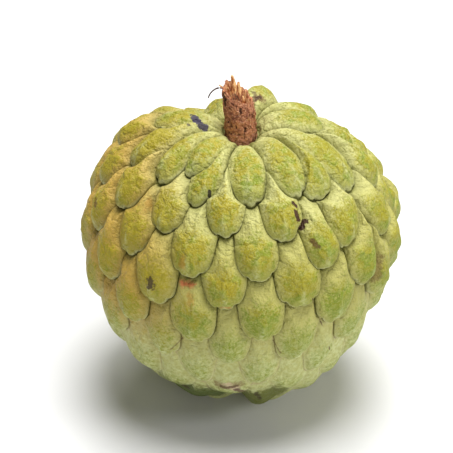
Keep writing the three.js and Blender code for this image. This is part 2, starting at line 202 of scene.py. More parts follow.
def makeGrainGroup():
    # The height of a rough surface: fine grain of one size over soft wrinkles of another.
    defaults = {"Place": (0, 0, 0), "Grain Size": 0.4, "Wrinkle Size": 1.5, "Wrinkle Share": 0.6}
    group, given, result = newGroup("grain", defaults, ["Height", "Fine"])

    def layer(size, detail):
        scale = calc(group, "DIVIDE", 1.0, size, held=False)
        inputs = {"Vector": given["Place"], "Scale": scale, "Detail": detail, "Roughness": 0.55}
        return put(group, "ShaderNodeTexNoise", inputs).outputs["Fac"]

    fine, broad = layer(given["Grain Size"], 2.0), layer(given["Wrinkle Size"], 3.0)
    height = put(group, "ShaderNodeMix", {0: given["Wrinkle Share"], 2: fine, 3: broad})
    group.links.new(height.outputs[0], result["Height"])
    group.links.new(fine, result["Fine"])
    return group


markGroup = makeMarkGroup()
grainGroup = makeGrainGroup()


def addMark(tree, colour, name, tint, amount, **inputs):  # lays a mark over a colour
    mask = put(tree, "ShaderNodeGroup", inputs, node_tree=markGroup, label=name).outputs["Mask"]
    return blend(tree, times(tree, mask, amount), colour, tint)


def newMaterial(name, roughness, specular):
    material = bpy.data.materials.new(name)
    material.use_nodes = True
    shader = material.node_tree.nodes["Principled BSDF"]
    shader.inputs["Roughness"].default_value = roughness
    shader.inputs["Specular IOR Level"].default_value = specular
    return material, material.node_tree, shader


skin = {
    "centreHeight": 41.6,
    "radius": 44.6,  # over the crests of the scales
    "belts": [(1.3, 62, 24), (-1.5, 108, 20), (-6.3, 0, 13)],  # shoulder, waist, hollow: height, polar, how tall
    "baseLoss": (0.9, 90, 130),  # depth, and the polar angles where it starts and is full
    "relief": (4.1, 1.1),  # crest over groove, above the widest line and at the base
    "reliefSpan": (78, 128),  # polar angles between which the scales grow flat
    # Swellings: azimuth, polar angle, how wide and how tall in degrees, height.
    "lean": [
        (4, 12, 52, 10, -4), (-104, 40, 34, 20, 3.2), (178, 38, 56, 18, -3.2), (84, 114, 50, 22, -2.4),
        (-90, 142, 50, 20, -1.4), (-139, 22, 24, 12, -4.3), (138, 22, 20, 10, -1.0), (116, 50, 16, 12, -1.3),
        (96, 62, 20, 6, -1.2), (-4, 146, 9, 14, -3.4), (10, 143, 9, 9, 1.0), (-160, 45, 26, 12, -1.7),
    ],
    "innerScales": [(-31, 28.5, 0.95), (100, 24, 0.9), (160, 27, 1.6), (-157, 26, 1.15), (-96, 24, 0.8)],
    "rowCount": 8,
    "rowScales": 14,
    "firstPolar": 34.4,
    "rowStep": 12.25,
    "rowWander": 4,  # degrees over which the place of a scale is drawn
    "baseRows": [(11, 133.5), (8, 146.5), (5, 161.0)],  # how many scales, polar angle
    "baseTurn": (10, 17),  # azimuth where the first base row starts, and what each further row adds
    "baseWander": 6,
    # Scales that stand off their places: row, place in the row, then azimuth and polar angle to add.
    "strays": [
        (0, 0, 0.5, -1), (0, 1, -1.5, -1.5), (0, 2, -13.7, 4.3), (0, 3, -16.3, 1), (0, 4, -8, 1), (0, 12, -1, -3),
        (0, 11, -1, -2), (1, 0, 0.5, -2.6), (1, 2, 1.2, 6.5), (1, 3, 17.5, -1), (1, 4, 10, 0), (1, 5, 5, 0),
        (1, 13, -1, -2.4), (1, 12, 0, -2.4), (2, 0, 1, 0), (2, 1, 2.5, -1.5), (2, 2, 11.4, 2), (2, 3, 9, 2),
        (2, 13, 1, -2), (2, 12, -0.5, -2.2), (3, 0, 1.8, -3.2), (3, 1, 2, -2.8), (3, 2, 8, -1), (3, 3, 8, 3),
        (3, 13, -1, -0.5), (4, 0, 1.5, -0.5), (4, 1, 6.9, -3.8), (4, 2, 4, -6), (5, 0, 2.3, -1), (5, 1, 2, -1),
    ],
    "frontAzimuth": 4.8,
    "rowDrift": 0.45,
    "scaleSize": (0.82, 0.36),  # least share of the full height, and what a draw may add
    "hollowPull": 1.035,  # over 1 makes the cell round the stem larger
    "blossomPull": 0.97,
    "stretch": 0.62,
    "evenness": 0.4,
    "bow": (0.13, 0.13),  # how far the flanks and the tips of the scales bow out
    "tipFall": (0.6, 0.9),  # how straight down the next cell must lie for a side to count as a tip
    "sideFall": (0.05, 0.4),
    "edgeStep": 0.95,
    "cornerMerge": 0.012,
    "rings": [0.14, 0.28, 0.42, 0.54, 0.65, 0.75, 0.83, 0.89, 0.935, 0.965, 0.985],
    "crestShift": 0.2,  # from the middle of a scale towards its lowest corner
    "cornerPower": 10,  # lower rounds the outline of the dome more
    "tipSpan": (-0.75, 0.2),  # from the root of a scale, where this is -1, to its tip, where it is 1
    "fullness": (1.8, 2.5),  # power of the share from crest to groove, for flat and for bold scales
    "steepness": (1.3, 0.6),
    "rootLevel": 0.92,
    "lipReach": 0.9,
    "fold": 0.8,  # how far the middle fold of a scale stands up
    "notch": 0.35,  # depth of the small notch in each tip
    "foldWidth": 0.85,  # this and the next four are turns in radians
    "streakWidth": 0.22,
    "notchWidth": 0.16,
    "foldDrift": 0.3,  # how far off the middle the fold may lie
    "notchDrift": 0.2,
    "lumps": [(7.0, 0.42), (3.2, 0.3), (1.9, 0.12)],  # size and height of the lumps of the scales
    "socketRadius": 4.5,  # where the skin meets the bark
    "socketTuck": 0.3,
    "socketDepth": 2.0,
    # In the colour the socket takes the painted shade of a groove's flank, as the hollow round the stem.
    "socketShare": 0.9,  # how much the skin of the socket looks like a groove

    "pale": (0.49, 0.455, 0.12),  # the ground of the scales
    "crown": (0.58, 0.565, 0.21),  # the ground round the stem
    "crownZone": (58, 76),  # heights between which it comes in
    "low": (0.45, 0.455, 0.145),  # the ground near the floor
    "lowZone": (52, 16),
    "sunned": (0.56, 0.33, 0.045),  # the yellower side, at -X
    "sunSide": (-10, -32),
    "sunZone": (22, 44),
    "green": (0.205, 0.265, 0.006),
    "olive": (0.365, 0.3, 0.003),
    # The tip colour is partly the greener skin of the tips, partly painted shade on their undersides.
    "tip": (0.28, 0.29, 0.025),
    "bloom": (0.65, 0.69, 0.34),
    "bloomAmount": (0.06, 0.7, 0.55),  # high up, near the floor, along the fold
    # The rim colour is partly the cream edge of the scales, partly a painted highlight along the tips.
    "rim": (0.68, 0.69, 0.34),
    # Groove colours: painted shade between bold scales, the skin's own brownish line between flat ones.
    "grooveShadeAndLine": (0.17, 0.17, 0.03),
    "flatValley": (0.38, 0.27, 0.13),
    # Painted shade: the crease colour darkens the creases between the puffs, whose depth the bump gives.
    "crease": (0.16, 0.17, 0.02),
    "creaseDepth": 0.28,
    "blotch": (2.6, 3),  # size, detail and roughness of blotches, of powder and of puffs between creases
    "powder": (1.3, 5, 0.72),
    "puff": (3.4, 1.5),
    "speckSize": 0.55,
    "wrinkleSize": 1.6,
    "grainHeight": 1.1,
    "roughness": 0.58,
    "specular": 0.35,
    # Marks: name, colour, strength, azimuth and polar angle of both ends, radius, ragged, soft.
    "marks": [
        ("stain", (0.05, 0.04, 0.075), 0.95, (-84, 17), (-79, 16.4), 1.3, 1.3, 0.3),
        ("stain", (0.05, 0.04, 0.075), 0.95, (-76, 16.4), (-66, 15.6), 1.7, 1.2, 0.3),
        ("stain dot", (0.05, 0.04, 0.06), 0.7, (-68, 20.3), (-67, 20.3), 0.5, 1, 0.4),
        ("back scar", (0.17, 0.08, 0.03), 0.8, (155, 12.6), (148.7, 14.9), 1.4, 1.9, 0.7),
        ("back scar", (0.07, 0.03, 0.012), 0.85, (153.5, 13), (151, 14.2), 0.7, 1.6, 0.5),
        ("back scar", (0.1, 0.045, 0.02), 0.7, (161.2, 14.9), (159, 14.1), 0.7, 1.5, 0.5),
        ("scab", (0.05, 0.012, 0.008), 0.95, (24.3, 47.2), (25.5, 48.4), 0.6, 1, 0.3),
        ("scab", (0.05, 0.012, 0.008), 0.95, (23.9, 50.2), (24.2, 53), 0.8, 1.3, 0.3),
        ("scab", (0.05, 0.012, 0.008), 0.95, (25.3, 55.7), (27.7, 53.7), 0.85, 1.3, 0.3),
        ("spot", (0.12, 0.055, 0.01), 0.85, (27.8, 60.9), (29, 63.2), 0.85, 1.5, 0.5),
        ("patch", (0.17, 0.1, 0.025), 0.7, (58.5, 77.7), (56, 84.1), 2, 1.4, 0.8),
        ("dark spot", (0.05, 0.03, 0.01), 0.9, (-31.8, 75.2), (-31.9, 77.6), 1.15, 1.5, 0.4),
        ("spot", (0.12, 0.055, 0.01), 0.75, (-72.5, 62.1), (-70.9, 63.1), 0.9, 1.4, 0.6),
        # The gap mark is painted shade: a dark spot for the shaded gap between two scales.
        ("gap", (0.02, 0.015, 0.006), 0.95, (-16.3, 41.6), (-16, 43.1), 0.6, 0.8, 0.4),
        ("blush", (0.58, 0.14, 0.05), 0.85, (-21.4, 74.6), (-17.6, 74.2), 1.5, 1.3, 1),
        ("blush", (0.5, 0.18, 0.06), 0.55, (-7, 81.6), (-4, 81.5), 0.7, 1.2, 0.9),
        ("shade", (0.06, 0.09, 0.006), 0.92, (-34, 135), (-11, 137), 9.4, 0.5, 0.6),
        ("shade", (0.09, 0.105, 0.006), 0.88, (5, 137), (16, 134), 8, 0.5, 0.6),
        ("corky", (0.26, 0.17, 0.07), 0.75, (-9.5, 122.5), (-1.3, 122.1), 2.6, 1.2, 0.9),
        ("corky", (0.66, 0.52, 0.32), 0.8, (-6, 121.6), (-2.5, 124.5), 1.5, 2.2, 0.5),
        ("corky", (0.12, 0.06, 0.025), 0.85, (-8.6, 123.8), (-2.5, 122.6), 0.9, 2.4, 0.5),
        ("corky", (0.1, 0.035, 0.03), 0.8, (-1.8, 125.5), (1, 129), 1.3, 1.8, 0.7),
        ("low spot", (0.05, 0.035, 0.01), 0.8, (-31.9, 134), (-27.4, 133.2), 0.8, 1.4, 0.6),
        ("low spot", (0.05, 0.035, 0.01), 0.8, (7.2, 130.1), (9.7, 134.4), 0.9, 1.4, 0.6),
        ("amber", (0.5, 0.25, 0.02), 0.55, (-21.1, 65.5), (-21, 68), 1.5, 1.5, 0.9),
        ("amber", (0.52, 0.27, 0.03), 0.5, (-18, 78.5), (-17.7, 81.5), 1.5, 1.5, 0.9),
        ("amber", (0.45, 0.22, 0.02), 0.55, (-44.8, 50.9), (-43.7, 53), 1.4, 1.5, 0.9),
        ("crack", (0.2, 0.14, 0.045), 0.8, (-22.3, 98.8), (-27.3, 104.4), 0.3, 1.2, 0.6),
        ("crack", (0.2, 0.14, 0.045), 0.8, (12.2, 98.3), (15.1, 103.9), 0.26, 1.2, 0.6),
        ("crack", (0.13, 0.08, 0.025), 0.85, (25.9, 81.1), (31.6, 94.4), 0.32, 1.4, 0.6),
        ("crack", (0.13, 0.08, 0.025), 0.85, (31.6, 94.4), (37.7, 109.8), 0.34, 1.4, 0.6),
    ],
}


def reliefAt(polar):  # the height of the scales: full high up, least at the base, an S curve between
    return mix(*skin["relief"], smooth(np.degrees(polar), *skin["reliefSpan"]))


def boldness(polar):  # that height as a share, 1 high up and 0 at the base
    most, least = skin["relief"]
    return (reliefAt(polar) - least) / (most - least)


def grooveRadius(azimuth, polar):
    # The round body under the scales: a ball with belts and leanings added as bells over the angles, a base
    # that falls off on an S curve, less the height of the scales.
    angle = np.degrees(polar)
    radius = skin["radius"]
    for height, level, tall in skin["belts"]:
        radius += height * hump(angle, level, tall)
    loss, starts, ends = skin["baseLoss"]
    radius -= loss * smooth(angle, starts, ends)
    for middle, level, wide, tall, height in skin["lean"]:
        turn = (np.degrees(azimuth) - middle + 180) % 360 - 180
        radius += height * hump(turn, 0, wide) * hump(angle, level, tall)
    return radius - reliefAt(polar)


def dropAt(polar):
    # How far down the globe a polar angle lies, the log of the tangent of half of it, as on a sea chart;
    # above the widest line it is mixed with the angle itself, which keeps the upper rows more evenly apart.
    around = np.log(np.tan(np.maximum(polar, 1e-4) / 2))
    return np.where(polar < np.pi / 2, mix(around, polar - np.pi / 2, skin["evenness"]), around)


def squeezed(polar):  # the fruit's polar angle on the globe of cells, where its drop is stretched
    return 2 * np.arctan(np.exp(skin["stretch"] * dropAt(polar)))


def released(polar):
    # The inverse of squeezed: a guess by the chart alone, then eight steps of Newton's method above the
    # widest line.
    drop = np.log(np.tan(np.maximum(polar, 1e-9) / 2)) / skin["stretch"]
    guess = 2 * np.arctan(np.exp(drop))
    even = skin["evenness"]
    for _ in range(8):
        step = (dropAt(guess) - drop) / (even + (1 - even) / np.sin(guess))
        guess = np.where(drop < 0, np.maximum(guess - step, 1e-3), guess)
    return guess


def onGlobe(azimuth, polar):  # the point of a ball of radius 1 at these angles
    flat = np.sin(polar)
    return np.stack([flat * np.sin(azimuth), -flat * np.cos(azimuth), np.cos(polar)], axis=-1)


def anglesAt(globePoints):  # the fruit's azimuth and polar angle at points of the globe of cells
    unit = unitOf(globePoints)
    azimuth = np.arctan2(unit[..., 0], -unit[..., 1])
    return azimuth, released(np.arccos(np.clip(unit[..., 2], -1, 1)))


def onFruit(globePoints, lift=0):
    # The point of the fruit under a point of the globe, lifted over the groove line.
    azimuth, polar = anglesAt(globePoints)
    points = onGlobe(azimuth, polar) * (grooveRadius(azimuth, polar) + lift)[..., None]
    points[..., 2] += skin["centreHeight"]
    return points


def makeSeeds():
    # One seed for each scale: the hollow, the blossom end, the inner scales, the full rows, the base rows.
    seeds = [(np.array([0, 0, 1.0]), skin["hollowPull"], 0.0, 0.0)]
    least, more = skin["scaleSize"]

    def addSeed(azimuth, polar, wander, pull, size=None):
        n = len(seeds)
        turned = math.radians(azimuth + wander * (drawAt(n) - 0.5))
        lowered = math.radians(polar + 0.3 * wander * (drawAt(n + 500) - 0.5))
        drawn = least + more * drawAt(n + 900) if size is None else size
        seeds.append((onGlobe(turned, squeezed(lowered)), pull, lowered, drawn))

    strays = {(row, k): (turn, drop) for row, k, turn, drop in skin["strays"]}
    addSeed(0, 179.5, 0, skin["blossomPull"])
    for azimuth, polar, size in skin["innerScales"]:
        addSeed(azimuth, polar, 0, 1, size)
    for row in range(skin["rowCount"]):
        stagger = -0.5 if row % 2 else 0
        for k in range(skin["rowScales"]):
            azimuth = skin["frontAzimuth"] + skin["rowDrift"] * row + (k + stagger) * 360 / skin["rowScales"]
            turn, drop = strays.get((row, k), (0, 0))
            polar = skin["firstPolar"] + skin["rowStep"] * row + drop
            addSeed(azimuth + turn, polar, skin["rowWander"], 1)
    first, further = skin["baseTurn"]
    for i, (scales, polar) in enumerate(skin["baseRows"]):
        for k in range(scales):
            addSeed(first + further * i + k * 360 / scales, polar, skin["baseWander"], 1)
    place, pull, polar, size = (np.array(column) for column in zip(*seeds))
    return {"place": place, "weighted": place * pull[:, None], "polar": polar, "size": size}


def cellCorners(seeds, i, found):
    # Corners of cell i on the globe, anticlockwise from outside, with the cell across the side that starts
    # at each: a square on the tangent plane, cut back by the plane midway to each of the nearest seeds.
    wide, nearest = 2.0, 40  # half the side of the square, and how many seeds; both more than a cell needs
    up = seeds["place"][i]
    across = unitOf(np.cross([0.31, 0.95, 0], up))
    along = np.cross(up, across)
    corners = [(-wide, -wide, None), (wide, -wide, None), (wide, wide, None), (-wide, wide, None)]
    away = seeds["weighted"] - seeds["weighted"][i]
    level, ax, ay = away @ up, away @ across, away @ along
    for j in np.argsort(-(seeds["place"] @ up))[:nearest]:
        if j == i:
            continue
        sides = [level[j] + x * ax[j] + y * ay[j] for x, y, _ in corners]
        if max(sides) <= 0:
            continue
        kept = []
        for k, (x, y, beyond) in enumerate(corners):
            after = (k + 1) % len(corners)
            nextX, nextY, _ = corners[after]
            here, there = sides[k], sides[after]
            if here <= 0:
                kept.append((x, y, beyond))
            if (here <= 0) != (there <= 0):
                t = here / (here - there)
                kept.append((mix(x, nextX, t), mix(y, nextY, t), j if here <= 0 else beyond))
        corners = kept
    settled = []
    for x, y, beyond in corners:
        point = unitOf(up + x * across + y * along)
        near = [k for k, other in enumerate(found) if np.linalg.norm(other - point) < skin["cornerMerge"]]
        if not near:
            found.append(point)
            near = [len(found) - 1]
        settled.append((near[0], beyond))
    return settled


def sidePoints(p, q, left, right):
    # Inner points of the side from corner p to corner q, with the seeds of the cells on its left and right.
    # It is bowed away from the upper cell by an arch 1 high: a parabola at a tip, and at a flank a cubic that
    # is fullest low down.
    gap = right - left
    fall = (math.acos(right[2]) - math.acos(left[2])) / np.linalg.norm(gap)
    length = np.linalg.norm(onFruit(p) - onFruit(q))
    pieces = max(1, math.ceil(length / skin["edgeStep"]))
    t = np.arange(1, pieces)[:, None] / pieces
    tipness = smooth(abs(fall), *skin["tipFall"])
    strength = mix(*skin["bow"], tipness) * smooth(abs(fall), *skin["sideFall"])
    low = t if q[2] < p[2] else 1 - t
    arch = mix(6.75 * low * low * (1 - low), 4 * t * (1 - t), tipness)
    most = strength * np.sign(fall) * np.linalg.norm(p - q)
    return unitOf(mix(p, q, t) + most * arch * gap / np.linalg.norm(gap))


def makeNet(seeds):
    # The outlines of all cells: shared points of the globe and, for each cell, their order round it. A side
    # is worked out for the first of its cells, and the second runs along it the other way.
    found = []
    cells = [cellCorners(seeds, i, found) for i in range(len(seeds["place"]))]
    blocks, count, known, outlines = [np.array(found)], len(found), {}, []
    for i, corners in enumerate(cells):
        outline = []
        for k, (corner, beyond) in enumerate(corners):
            following = corners[(k + 1) % len(corners)][0]
            if corner == following:
                continue
            if (beyond, i) in known:
                inner = known[(beyond, i)][::-1]
            else:
                side = sidePoints(found[corner], found[following], seeds["place"][i], seeds["place"][beyond])
                inner = known[(i, beyond)] = np.arange(count, count + len(side))
                blocks.append(side)
                count += len(side)
            outline += [[corner], inner]
        outlines.append(np.concatenate(outline))
    neighbours = [[beyond for _, beyond in corners] for corners in cells]
    return np.concatenate(blocks), outlines, neighbours


def scaleGrid(seeds, i, neighbours, ends):
    # A scale as rings of points between its crest and its outline. share is 0 at the crest and 1 in the
    # groove; the scale is a flat-topped dome over it, lower at the root, with a tent-shaped fold down its
    # middle, and its tip leans out as a lip with a notch. Lumps are laid over all of it.
    middle = unitOf(ends.sum(axis=0))
    crest = unitOf(mix(middle, ends[ends[:, 2].argmin()], skin["crestShift"]))
    south = onGlobe(np.arctan2(crest[0], -crest[1]), np.arccos(crest[2]) + np.pi / 2)
    east = np.cross(crest, south)
    bold = boldness(seeds["polar"][i])
    height = reliefAt(seeds["polar"][i]) * seeds["size"][i]
    walls = seeds["weighted"][neighbours] - seeds["weighted"][i]
    reaches = np.maximum(0, 1 - (ends @ walls.T) / (walls @ crest))
    soft = (reaches ** skin["cornerPower"]).sum(axis=1) ** (1 / skin["cornerPower"])
    unit = unitOf(ends - crest)
    southward = unit @ south
    tipness = smooth(southward, *skin["tipSpan"])
    rounding = mix(1, np.maximum(1, soft / reaches.max(axis=1)), tipness)
    outward = unitOf(onFruit(ends) - onFruit(crest))
    bearing = np.arctan2(unit @ east, southward)
    aside = drawAt(i + 33) - 0.5
    notch = skin["notch"] * bold * hump(bearing, skin["notchDrift"] * aside, skin["notchWidth"])
    slant = skin["foldDrift"] * aside

    ring = np.array(skin["rings"])[:, None]
    share = np.minimum(1, ring * rounding)
    dome = (1 - share ** mix(*skin["fullness"], bold)) ** mix(*skin["steepness"], bold)
    fold = np.maximum(0, 1 - np.abs(bearing - slant) / skin["foldWidth"]) * np.sin(np.pi * share ** 1.3)
    lift = height * mix(1, mix(skin["rootLevel"], 1, tipness), ring) * dome + skin["fold"] * bold * fold
    lip = skin["lipReach"] * bold ** 2 * tipness * np.sin(np.pi * share ** 6)
    points = onFruit(mix(crest, ends, ring[..., None]), lift - notch * smooth(share, 0.45, 0.9))
    points += outward * (lip - notch * smooth(share, 0.6, 0.95) * (share < 1))[..., None]
    for size, amount in skin["lumps"]:
        rough = amount * noiseAt(points, size, size) * mix(0.45, 1, bold) * smooth(1 - share, 0, 0.25)
        points += rough[..., None] * (points - [0, 0, skin["centreHeight"]]) / skin["radius"]
    top = onFruit(crest, height)
    along = np.broadcast_to(0.5 + 0.5 * southward * ring, share.shape)
    streak = hump(bearing, slant, skin["streakWidth"]) * smooth(ring, 0.2, 0.5) * (share < 0.97)
    return points, top, share, along, streak, bold


def socketGrid(rim):
    # The floor of the hollow inside its rim: a round socket for the stem, as two rings straight above each
    # other and a middle point, all in the directions of the rim's points.
    azimuth = np.arctan2(rim[:, 0], -rim[:, 1])
    around = np.stack([np.sin(azimuth), -np.cos(azimuth)], axis=-1) * skin["socketRadius"]
    lower = rim[:, 2].min() - skin["socketDepth"]
    grid = np.stack([np.column_stack([around, np.full(len(rim), lower)]),
                     np.column_stack([around, rim[:, 2] - skin["socketTuck"]])])
    plain = np.zeros(grid.shape[:2])
    return grid, np.array([0, 0, lower]), plain + skin["socketShare"], plain, plain, 1.0


def makeSkin():
    # All scales and the socket. Each is a fan round its top point and bands between its rings, the last of
    # them down to the outline that it shares with its neighbours, so the skin is closed.
    seeds = makeSeeds()
    net, outlines, neighbours = makeNet(seeds)
    rim = onFruit(net)
    blocks, count, quads, triangles = [rim], len(net), [], []
    onRim = {"share": 1.0, "along": 0.5, "cell": 0.5, "bold": boldness(anglesAt(net)[1]), "streak": 0.0}
    values = {key: [np.full(count, value)] for key, value in onRim.items()}
    for i, outline in enumerate(outlines):
        if i == 0:
            grid, top, share, along, streak, bold = socketGrid(rim[outline])
        else:
            grid, top, share, along, streak, bold = scaleGrid(seeds, i, neighbours[i], net[outline])
        rings = np.vstack([count + 1 + np.arange(share.size).reshape(share.shape), outline])
        triangles.append(fan(count, rings[0]))
        quads.append(band(rings[:-1], rings[1:]))
        blocks += [top[None], grid.reshape(-1, 3)]
        values["share"] += [[skin["socketShare"] if i == 0 else 0.0], share.ravel()]
        values["along"] += [[0.5], along.ravel()]
        values["streak"] += [[0.0], streak.ravel()]
        values["cell"] += [np.full(1 + share.size, drawAt(i + 61))]
        values["bold"] += [np.full(1 + share.size, bold)]
        count += 1 + share.size
    points = np.concatenate(blocks)
    points[:, 2] = np.maximum(points[:, 2], 0)
    values = {key: np.concatenate(parts) for key, parts in values.items()}
    piece = meshPiece("fruit_skin", points, np.concatenate(quads), np.concatenate(triangles), values)
    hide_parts("fruit")
    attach(piece, "root")
    return piece, rim[outlines[0], 2].min()


def onBall(azimuth, polar):  # the point at these angles in degrees on a ball of the skin's radius
    point = onGlobe(np.radians(azimuth), np.radians(polar)) * skin["radius"]
    return tuple(point + [0, 0, skin["centreHeight"]])


def ballPlace(tree, place):  # the place moved straight out or in, from the middle of the fruit, to that ball
    middle = (0.0, 0.0, skin["centreHeight"])
    away = vector(tree, "SUBTRACT", {0: place, 1: middle})[0]
    unit = vector(tree, "NORMALIZE", {0: away})[0]
    return vector(tree, "MULTIPLY_ADD", {0: unit, 1: (skin["radius"],) * 3, 2: middle})[0]


def makeSkinMaterial():
    material, tree, shader = newMaterial("custard apple skin", skin["roughness"], skin["specular"])
    place = placeInMm(tree)
    share, along, cell, bold, streak = (attribute(tree, key) for key in ("share", "along", "cell", "bold", "streak"))
    sides = put(tree, "ShaderNodeSeparateXYZ", {0: place}).outputs
    blotch, powder = noise(tree, place, *skin["blotch"]), noise(tree, place, *skin["powder"])
    sizes = {"Place": place, "Grain Size": skin["speckSize"], "Wrinkle Size": skin["wrinkleSize"]}
    grain = put(tree, "ShaderNodeGroup", sizes, node_tree=grainGroup).outputs
    lower = ramp(tree, sides["Z"], *skin["lowZone"])
    sunned = times(tree, ramp(tree, sides["X"], *skin["sunSide"]), ramp(tree, sides["Z"], *skin["sunZone"]))

    # A pale ground; specks of green and olive crowd together on the outer half of a scale.
    wavy = scaleAdd(tree, blotch, 0.6, share)
    centre = times(tree, ramp(tree, wavy, 0.82, 1.4, 1.0, 0.0), ramp(tree, along, 0.12, 0.5, 0.25, 1.0))
    ground = blend(tree, ramp(tree, sides["Z"], *skin["crownZone"]), skin["pale"], skin["crown"])
    ground = blend(tree, lower, ground, skin["low"])
    ground = blend(tree, times(tree, sunned, 0.85), ground, skin["sunned"])
    # Towards the tip: greener skin, and painted shade on the tip's underside.
    ground = blend(tree, ramp(tree, along, 0.5, 0.95, 0.0, 0.75), ground, skin["tip"])
    crowd = scaleAdd(tree, grain["Fine"], 1.5, times(tree, centre, 0.9))
    crowd = scaleAdd(tree, lower, -0.2, scaleAdd(tree, blotch, 0.4, crowd))

    # From green to olive by scale and blotch, on the sunny side and high up; greener at tips and at +X.
    hue = calc(tree, "ADD", ramp(tree, cell, 0.0, 1.0, -0.2, 0.3), ramp(tree, blotch, 0.35, 0.6))
    hue = calc(tree, "ADD", hue, times(tree, sunned, 0.6))
    hue = calc(tree, "SUBTRACT", hue, ramp(tree, along, 0.62, 0.9, 0.0, 0.4), held=False)
    hue = calc(tree, "ADD", hue, ramp(tree, sides["Z"], 58, 38, 0.25, -0.55))
    hue = calc(tree, "ADD", hue, ramp(tree, sides["X"], -18, 24, 0.1, -0.25))
    tone = blend(tree, hue, skin["green"], skin["olive"])
    colour = blend(tree, ramp(tree, crowd, 1.18, 2.0), ground, tone)

    # White bloom in fine powder, thicker low down and along the fold of a tip.
    high, deep, folded = skin["bloomAmount"]
    dusting = calc(tree, "ADD", ramp(tree, lower, 0.0, 1.0, high, deep), times(tree, streak, folded))
    dusting = times(tree, dusting, ramp(tree, powder, 0.36, 0.66))
    colour = blend(tree, dusting, colour, skin["bloom"])
    # A pale line inside the edge, strongest at the tips: partly the cream edge, partly a painted highlight.
    rim = times(tree, ramp(tree, share, 0.84, 0.93), ramp(tree, along, 0.45, 0.8, 0.1, 0.8))
    colour = blend(tree, rim, colour, skin["rim"])

    # Painted shade: the flanks darken towards the grooves, and the creases that run between the puffs of the
    # skin are darkened a little.
    grooveShadeAndLine = blend(tree, ramp(tree, bold, 0.3, 0.95), skin["flatValley"], skin["grooveShadeAndLine"])
    flank = times(tree, ramp(tree, share, 0.6, 1.0, 0.0, 0.45), bold)
    colour = blend(tree, times(tree, flank, ramp(tree, along, 0.5, 0.85, 1.0, 0.3)), colour, grooveShadeAndLine)
    crease = calc(tree, "SUBTRACT", noise(tree, place, *skin["puff"]), 0.5, held=False)
    puff = ramp(tree, calc(tree, "ABSOLUTE", crease), -0.03, 0.14)
    puff = calc(tree, "MAXIMUM", puff, ramp(tree, sides["Z"], 56, 36, 0.0, 0.55))
    colour = blend(tree, ramp(tree, puff, 0.0, 0.6, 0.08, 0.0), colour, skin["crease"])
    # The grooves: painted shade between bold scales, the brownish line of the skin between flat ones.
    depth = calc(tree, "MAXIMUM", ramp(tree, bold, 0.05, 0.7, 0.08, 0.85), ramp(tree, blotch, 0.48, 0.6, 0.0, 0.6))
    depth = times(tree, ramp(tree, scaleAdd(tree, powder, 0.06, share), 0.95, 1.03), depth)
    colour = blend(tree, depth, colour, grooveShadeAndLine)

    ball = ballPlace(tree, place)
    for name, tint, amount, start, end, radius, ragged, soft in skin["marks"]:
        colour = addMark(tree, colour, name, tint, amount, Place=ball, Noise=powder, Start=onBall(*start),
                         End=onBall(*end), Radius=radius, Ragged=2 * ragged, Soft=soft)
    tree.links.new(colour, shader.inputs["Base Color"])

    height = scaleAdd(tree, puff, skin["creaseDepth"] / skin["grainHeight"], grain["Height"])
    bump = put(tree, "ShaderNodeBump", {"Height": height, "Strength": 1.0, "Distance": skin["grainHeight"] * mm})
    tree.links.new(bump.outputs["Normal"], shader.inputs["Normal"])
    return material


skinPiece, hollowFloor = makeSkin()
skinPiece.data.materials.append(makeSkinMaterial())
print("skin:", len(skinPiece.data.polygons), "faces, hollow floor at", round(hollowFloor, 2))

